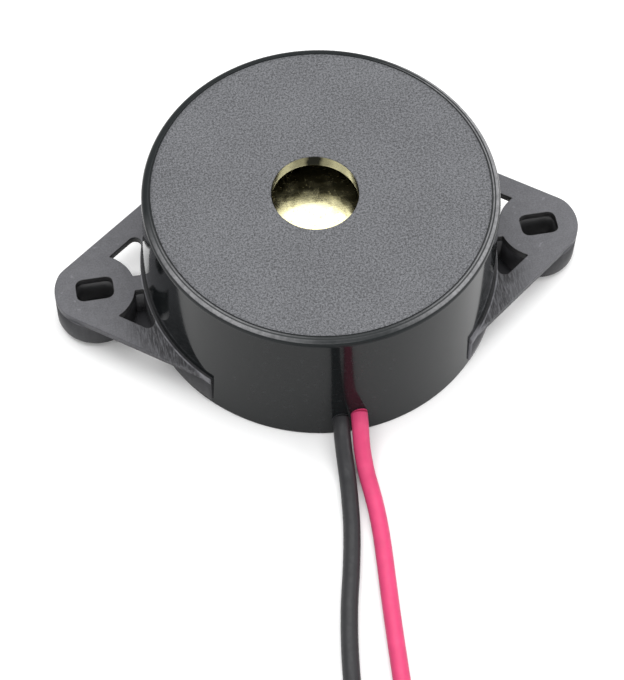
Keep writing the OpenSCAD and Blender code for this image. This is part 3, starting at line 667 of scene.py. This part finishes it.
def ear_plan(e, inner_r):
    """One ear at +X. An arm's outer edge is the line p . n = c cos(a) + r, with n at the angle a: it
    touches the boss's circle, of radius r at the distance c, and runs into the saddle. The far corner
    of an opening is an arc that touches the arm's inner edge and the saddle's circle."""
    big, small, c = e.saddle_r, e.boss_r, e.slot_x
    a, half = math.radians(e.arm_a), math.radians(e.half)
    flip = np.array([1, -1])

    def at(radius, angle):
        return radius * np.array([math.cos(angle), math.sin(angle)])

    normal = at(1, a)
    run = np.array([normal[1], -normal[0]])
    boss = np.array([c, 0])
    out = c * math.cos(a) + small - e.edge_in
    meet_a = a - math.acos(out / big)
    far_a = a - math.acos(1 - e.edge_in / small)
    wall, end = at(inner_r, half), at(big, half)
    meet, far = at(big, meet_a), boss + at(small, far_a)
    web = closed_outline([
        line(wall * flip, end * flip, 3), arc((0, 0), big, -half, -meet_a, 20),
        line(meet * flip, far * flip, 30), arc(boss, small, -far_a, far_a, 60), line(far, meet, 30),
        arc((0, 0), big, meet_a, half, 20), line(end, wall, 3), arc((0, 0), inner_r, half, -half, 40),
    ], [0.12, 0.2, 0.3, 0.3, 0.2, 0.12, 0, 0])

    # opening between arm, boss, neck and saddle
    y0 = e.neck_w / 2
    inn = out + e.edge_in - e.arm_w
    rise = inn - e.opening_r
    centre = rise * normal + math.sqrt((big + e.opening_r) ** 2 - rise ** 2) * run
    centre_a = math.atan2(centre[1], centre[0])
    rel = inn * normal - boss
    along = float(np.dot(rel, run))
    reach = -along - math.sqrt(along ** 2 - float(np.dot(rel, rel)) + small ** 2)
    at_boss = inn * normal + reach * run
    a_neck, b_neck = math.asin(y0 / big), math.pi - math.asin(y0 / small)
    b_arm = math.atan2(at_boss[1], at_boss[0] - c)
    up = closed_outline([
        arc((0, 0), big, centre_a, a_neck, 24), line(at(big, a_neck), boss + at(small, b_neck), 2),
        arc(boss, small, b_neck, b_arm, 20), line(at_boss, centre + e.opening_r * normal, 12),
        arc(centre, e.opening_r, a, math.pi + centre_a, 14),
    ], [0.08, 0.08, 0.1, 0, 0])
    up = up if area(up) < 0 else up[::-1]
    down = (up * flip)[::-1]

    half_l, half_w, corner_reach = e.slot_l / 2, e.slot_w / 2, 0.6
    corners = [np.array([c + u * half_l, v * half_w]) for u, v in ((-1, 1), (1, 1), (1, -1), (-1, -1))]
    slot = closed_outline([line(corners[i], corners[(i + 1) % 4], (8, 6)[i % 2]) for i in range(4)],
                          [corner_reach] * 4, n=12)

    block = closed_outline([
        line(wall * flip, end * flip, 3), arc((0, 0), big, -half, -a_neck, 40),
        line(at(big, -a_neck), boss + at(small, -b_neck), 2), arc(boss, small, -b_neck, b_neck, 80),
        line(boss + at(small, b_neck), at(big, a_neck), 2), arc((0, 0), big, a_neck, half, 40),
        line(end, wall, 3), arc((0, 0), inner_r, half, -half, 40),
    ], [0.12, 0.05, 0.05, 0.05, 0.05, 0.12, 0, 0])
    return web, [up, down], slot, block


def area(loop):
    """Signed area of a closed loop, positive when counter-clockwise."""
    x, y = loop[:, 0], loop[:, 1]
    return 0.5 * float(np.sum(x * np.roll(y, -1) - np.roll(x, -1) * y))


def spiral_tail(s, sign, end):
    """Path of a coil and its tail: r = R - p * t / 360 over the turns, wound from the outermost point,
    then a bend of two diameters into the hollow. sign is +1 for a coil to the right of the lead."""
    pitch, bend, steps_a_turn = s.lead_d, 2 * s.lead_d, 60
    t = np.linspace(0, 360 * s.turns, int(steps_a_turn * s.turns) + 1)[1:]
    r = s.coil_r - pitch * t / 360
    a = np.radians(180 + t)
    pts = np.stack([r * np.cos(a), r * np.sin(a)], axis=1)
    last_r = s.coil_r - pitch * s.turns
    b = np.radians(np.linspace(0, s.tail_turn, 12))[1:]
    tail = np.stack([last_r - bend + bend * np.cos(b), bend * np.sin(b)], axis=1)
    g = math.radians(360 * s.turns) + math.pi
    rot = np.array([[math.cos(g), math.sin(g)], [-math.sin(g), math.cos(g)]])
    tail = tail @ rot
    flat = np.vstack([pts, tail]) * np.array([sign, 1.0])
    centre = np.array([end[0] + sign * s.coil_r, end[1]])
    flat = flat + centre
    return np.column_stack([flat, np.full(len(flat), end[2])])


def smooth_path(points, per=8):
    """Catmull-Rom curve through the points, with the first and last points doubled."""
    p = np.vstack([2 * points[0] - points[1], points, 2 * points[-1] - points[-2]])
    t = np.linspace(0, 1, per, endpoint=False)[None, :, None]
    a, b, c, d = (p[k:len(p) - 3 + k][:, None, :] for k in range(4))
    square, cube = 2 * a - 5 * b + 4 * c - d, 3 * b - a - 3 * c + d
    out = 0.5 * (2 * b + (c - a) * t + square * t ** 2 + cube * t ** 3)
    return np.vstack([out.reshape(-1, 3), points[-1]])


def tube(path, r, sides):
    """Vertices and faces of a round tube with flat ends: at each point of the path a circle of radius r
    across the path's direction, with its second axis as near to +Z as it can be."""
    d = np.gradient(path, axis=0)
    d /= np.linalg.norm(d, axis=1)[:, None]
    side = np.cross(d, UP)
    side /= np.linalg.norm(side, axis=1)[:, None]
    up = np.cross(side, d)
    a = np.linspace(0, 2 * math.pi, sides, endpoint=False)
    ring = np.cos(a)[None, :, None] * side[:, None, :] + np.sin(a)[None, :, None] * up[:, None, :]
    verts = (path[:, None, :] + r * ring).reshape(-1, 3)
    faces = ring_faces(len(path), sides, closed=False).tolist()
    return verts, faces + [list(range(sides))[::-1], list(range(len(verts) - sides, len(verts)))]


BLACK_ROUTE = np.array([
    [-0.73, -11.7, 1.85], [-0.8, -12.4, 1.77], [-0.87, -13.1, 1.5], [-0.9, -13.8, 1.11],
    [-0.92, -14.5, 0.78], [-0.96, -15.3, 0.57], [-1.04, -16.2, 0.55], [-1.16, -17.3, 0.55],
    [-1.35, -18.7, 0.55], [-1.65, -20.3, 0.55], [-2.03, -22, 0.55], [-2.45, -23.7, 0.55],
    [-2.8, -25.4, 0.55], [-3.1, -27.2, 0.55], [-3.35, -29.2, 0.55], [-3.5, -31.4, 0.55],
    [-3.55, -34.2, 0.55], [-3.55, -37.5, 0.55]])
RED_ROUTE = np.array([
    [0.45, -11.7, 2.15], [0.37, -12.5, 2], [0.3, -13.2, 1.66], [0.26, -13.9, 1.2],
    [0.28, -14.6, 0.78], [0.31, -15.4, 0.56], [0.36, -16.3, 0.55], [0.41, -17.6, 0.55],
    [0.39, -19.2, 0.55], [0.29, -20.8, 0.55], [0.16, -22.4, 0.55], [0.02, -24.1, 0.55],
    [-0.1, -25.7, 0.55], [-0.22, -27.5, 0.55], [-0.34, -29.5, 0.55], [-0.41, -31.6, 0.55],
    [-0.44, -34.2, 0.55], [-0.44, -37.5, 0.55]])


class BUZZER_OT_camera(bpy.types.Operator):
    """Places the camera where the photograph was taken from"""
    bl_idname = "buzzer.camera"
    bl_label = "Camera"

    def execute(self, context):
        c = context.scene.buzzer_camera
        az, el, roll = (math.radians(v) for v in (c.azimuth, c.elevation, c.roll))
        back = Vector((math.sin(az) * math.cos(el), -math.cos(az) * math.cos(el), math.sin(el)))
        right = Vector((math.cos(az), math.sin(az), 0))
        up = back.cross(right)
        x = right * math.cos(roll) + up * math.sin(roll)
        y = up * math.cos(roll) - right * math.sin(roll)
        data = bpy.data.cameras.new("photo_camera")
        data.sensor_fit = "HORIZONTAL"
        data.sensor_width = 36.0
        data.lens = c.lens
        data.clip_start, data.clip_end = 0.005, 10.0
        cam = bpy.data.objects.new("photo_camera", data)
        place = (Vector(c.target) + back * c.distance) * MM
        rows = [(x[k], y[k], back[k], place[k]) for k in range(3)]
        cam.matrix_world = Matrix(rows + [(0, 0, 0, 1)])
        context.scene.collection.objects.link(cam)
        context.scene.camera = cam
        return {"FINISHED"}


class BUZZER_OT_leads(bpy.types.Operator):
    """Builds both leads with their coils and tinned ends"""
    bl_idname = "buzzer.leads"
    bl_label = "Leads"

    def execute(self, context):
        s, looks = context.scene.buzzer_leads, context.scene.buzzer_looks
        tin = metal_material("tinned_strands", (0.68, 0.68, 0.69), 0.32)
        for name, route, sign, colour in (
                ("black", BLACK_ROUTE, -1, looks.black), ("red", RED_ROUTE, 1, looks.red)):
            skin = sleeve_material(name + "_sleeve_skin", colour)
            run = smooth_path(route)
            path = np.vstack([run, spiral_tail(s, sign, route[-1])])
            verts, faces = tube(path, s.lead_d / 2, s.sides)
            lead = make_object(name + "_lead_tube", verts, faces, [skin])
            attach(lead, "root")
            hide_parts(name + "_lead", name + "_lead_coil")

            heading = path[-1] - path[-2]
            heading /= np.linalg.norm(heading)
            # tinned strands, from inside the insulation on: six wound round a seventh
            steps, inside, turns, strand_sides = 40, 0.3, 0.8, 10
            tip_path = path[-1] + heading * np.linspace(-inside, s.bare_l, steps)[:, None]
            side, up = np.cross(heading, UP), UP
            builder = Builder()
            for k in range(7):
                a = 2 * math.pi * (k / 6 + np.linspace(0, turns, steps))[:, None]
                off = 0 if k == 6 else s.core_d / 3
                centre = tip_path + off * (np.cos(a) * side + np.sin(a) * up)
                builder.add(*tube(centre, s.core_d / 6, strand_sides), 0)
            tip = builder.build(name + "_lead_tip", [tin])
            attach(tip, "root")
            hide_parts(name + "_lead_end")
        return {"FINISHED"}


class BUZZER_OT_housing(bpy.types.Operator):
    """Builds the moulding: case, sound face, hole and both ears"""
    bl_idname = "buzzer.housing"
    bl_label = "Housing"

    def execute(self, context):
        s, e, looks = context.scene.buzzer_shape, context.scene.buzzer_ears, context.scene.buzzer_looks
        mats = [grain_material(looks.grain), gloss_material(looks.gloss),
                shadow_material((0.02, 0.02, 0.021)), ear_material(looks.ear, e.saddle_r),
                skirt_material([v * 0.3 for v in looks.ear], math.radians(e.half)),
                rim_material(looks.gloss, s.top_r), bore_material(looks.gloss)]
        b = Builder()
        verts, faces, kinds = case_plan(s)
        b.add(verts, faces.tolist(), kinds.tolist())
        ear = Builder()
        inside_wall = 0.2
        web, openings, slot, block = ear_plan(e, s.top_r - inside_wall)
        joint = e.top - e.web_t
        scale = e.hole_edge_r / e.edge_r
        ear.slab(web, openings + [slot], joint, e.top, 0, e.edge_r, (3, 3, 4, 2), scale)
        ear.slab(block, [slot], e.lift, joint, e.edge_r, 0, (4, 3, 4, 2))
        b.copy(ear)
        b.mirror_x(ear)
        case = b.build("case_moulding", mats)
        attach(case, "root")
        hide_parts("housing")
        return {"FINISHED"}


class BUZZER_OT_inner(bpy.types.Operator):
    """Gives the frame's nodes that no piece replaces their materials"""
    bl_idname = "buzzer.inner"
    bl_label = "Inner parts"

    def execute(self, context):
        looks = context.scene.buzzer_looks
        tin = metal_material("solder_tin", (0.66, 0.67, 0.68), 0.35)
        chip = plain_material("chip_epoxy", (0.03, 0.03, 0.032), 0.5)
        wire = {
            "red": sleeve_material("thin_red", looks.red),
            "black": sleeve_material("thin_black", looks.black),
            "blue": sleeve_material("thin_blue", (0.03, 0.09, 0.5)),
        }
        kinds = {
            "back_cover": plain_material("cover_plastic", (0.03, 0.031, 0.033), 0.42, 2600, 0.2),
            "diaphragm_plate": brass_material(looks.brass),
            "diaphragm_adhesive": plain_material("silicone", (0.7, 0.69, 0.62), 0.45, 900, 0.06),
            "piezo_ceramic": plain_material("ceramic", (0.72, 0.7, 0.62), 0.7, 5200, 0.07),
            "main_electrode": metal_material("silver_print", (0.72, 0.73, 0.74), 0.4, 5200),
            "feedback_electrode": metal_material("silver_tongue", (0.72, 0.73, 0.74), 0.4, 5200),
            "circuit_board": plain_material("laminate", (0.38, 0.2, 0.07), 0.5, 1400, 0.14, 0.3),
            "board_copper": metal_material("copper_foil", (0.75, 0.36, 0.2), 0.35),
            "transistor_case": chip, "base_resistor": chip, "collector_resistor": chip,
            "feedback_resistor": chip, "protection_diode": chip,
            "transistor_legs": tin, "board_solder": tin, "diaphragm_solder": tin,
            "black_lead_core": tin, "red_lead_core": tin,
            "plate_wire": wire["red"], "electrode_wire": wire["black"], "feedback_wire": wire["blue"],
            "black_lead_sleeve": wire["black"], "red_lead_sleeve": wire["red"],
            "lead_glue": plain_material("glue_dab", (0.62, 0.6, 0.5), 0.4, 900, 0.08),
        }
        for node, material in kinds.items():
            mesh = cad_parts[node].data
            mesh.materials.clear()
            mesh.materials.append(material)
        return {"FINISHED"}


class BUZZER_OT_stage(bpy.types.Operator):
    """Builds the floor, the lamps and the world"""
    bl_idname = "buzzer.stage"
    bl_label = "Stage"

    def execute(self, context):
        scene = context.scene
        n = Nodes("floor_white")
        shows = n.sees_background()
        x, y, _, away = n.plan(n.place())
        # diffuse rays meet a grey floor, darker at the left
        bounce = n.mix(n.ramp(x, -40 * MM, 40 * MM), (0.22, 0.225, 0.23, 1), (0.56, 0.56, 0.57, 1))
        # the floor that shows is white, with a painted shadow below the ears' front openings
        along, across = n.math("MULTIPLY", n.math("ABSOLUTE", x), 0.6), n.math("MULTIPLY", y, 0.8)
        front = n.ramp(n.math("SUBTRACT", along, across), 9.4 * MM, 9.0 * MM)
        front = n.math("MULTIPLY", front, n.ramp(y, 2.0 * MM, 1.3 * MM))
        seen = n.mix(front, (0.95, 0.95, 0.95, 1), (0.06, 0.06, 0.065, 1))
        # it glows below the rear openings, where the ears shade it, and more with distance
        rear = n.ramp(n.math("ADD", along, across), 12.4 * MM, 11.9 * MM)
        rear = n.math("MULTIPLY", n.math("MULTIPLY", rear, n.ramp(y, 2.2 * MM, 3.0 * MM)), 0.4)
        far = n.ramp(away, 60 * MM, 500 * MM, 0.0, 0.65)
        white = n.surface(
            Base_Color=n.mix(shows, bounce, seen), Roughness=0.9, Specular_IOR_Level=0.0,
            Emission_Color=(1, 1, 1, 1),
            Emission_Strength=n.math("MULTIPLY", n.math("ADD", rear, far), shows))
        size = 3000
        floor = make_object("floor", [(-size, -size, 0), (size, -size, 0), (size, size, 0), (-size, size, 0)],
                            [(0, 1, 2, 3)], [white])

        def lamp(name, place, target, size, power):
            data = bpy.data.lights.new(name, "AREA")
            data.shape = "RECTANGLE"
            data.size, data.size_y = size[0] * MM, size[1] * MM
            data.energy = power
            obj = bpy.data.objects.new(name, data)
            obj.location = Vector(place) * MM
            aim = (Vector(target) - Vector(place)).to_track_quat("-Z", "Y")
            obj.rotation_euler = aim.to_euler()
            scene.collection.objects.link(obj)

        lamp("overhead", (0, 60, 400), (0, 0, 5), (520, 420), 2.2)
        lamp("right_side", (330, -100, 170), (0, 0, 5), (220, 220), 0.45)
        lamp("front_strip", (-90, -260, 150), (0, 0, 5), (320, 60), 0.35)

        # a white world that lights the object with less than half of that
        n = Nodes("studio", world=True)
        strength = n.ramp(n.sees_background(), 0, 1, 0.45, 1.0)
        scene.world = n.finish(n.node("Background", {"Color": (1, 1, 1, 1), "Strength": strength}))
        scene.view_settings.view_transform = "Standard"
        return {"FINISHED"}


class BUZZER_PT_panel(bpy.types.Panel):
    """Sizes, colours and operators of the buzzer"""
    bl_idname = "BUZZER_PT_panel"
    bl_label = "Buzzer"
    bl_space_type = "VIEW_3D"
    bl_region_type = "UI"
    bl_category = "Buzzer"

    def draw(self, context):
        for group in GROUPS:
            box = self.layout.box()
            data = getattr(context.scene, group)
            for key in data.bl_rna.properties.keys():
                if key not in ("rna_type", "name"):
                    box.prop(data, key)
        for operator in STEPS:
            self.layout.operator(operator.bl_idname)


GROUPS = {
    "buzzer_shape": BuzzerShape, "buzzer_ears": EarShape, "buzzer_leads": LeadShape,
    "buzzer_looks": Looks, "buzzer_camera": CameraPlace,
}
STEPS = (BUZZER_OT_camera, BUZZER_OT_leads, BUZZER_OT_housing, BUZZER_OT_inner, BUZZER_OT_stage)
CLASSES = tuple(GROUPS.values()) + STEPS + (BUZZER_PT_panel,)


def register():
    for c in CLASSES:
        bpy.utils.register_class(c)
    for key, group in GROUPS.items():
        setattr(bpy.types.Scene, key, PointerProperty(type=group))


def unregister():
    for key in GROUPS:
        delattr(bpy.types.Scene, key)
    for c in reversed(CLASSES):
        bpy.utils.unregister_class(c)


def main():
    register()
    for operator in STEPS:
        group, name = operator.bl_idname.split(".")
        getattr(getattr(bpy.ops, group), name)()


if __name__ == "__main__":
    main()
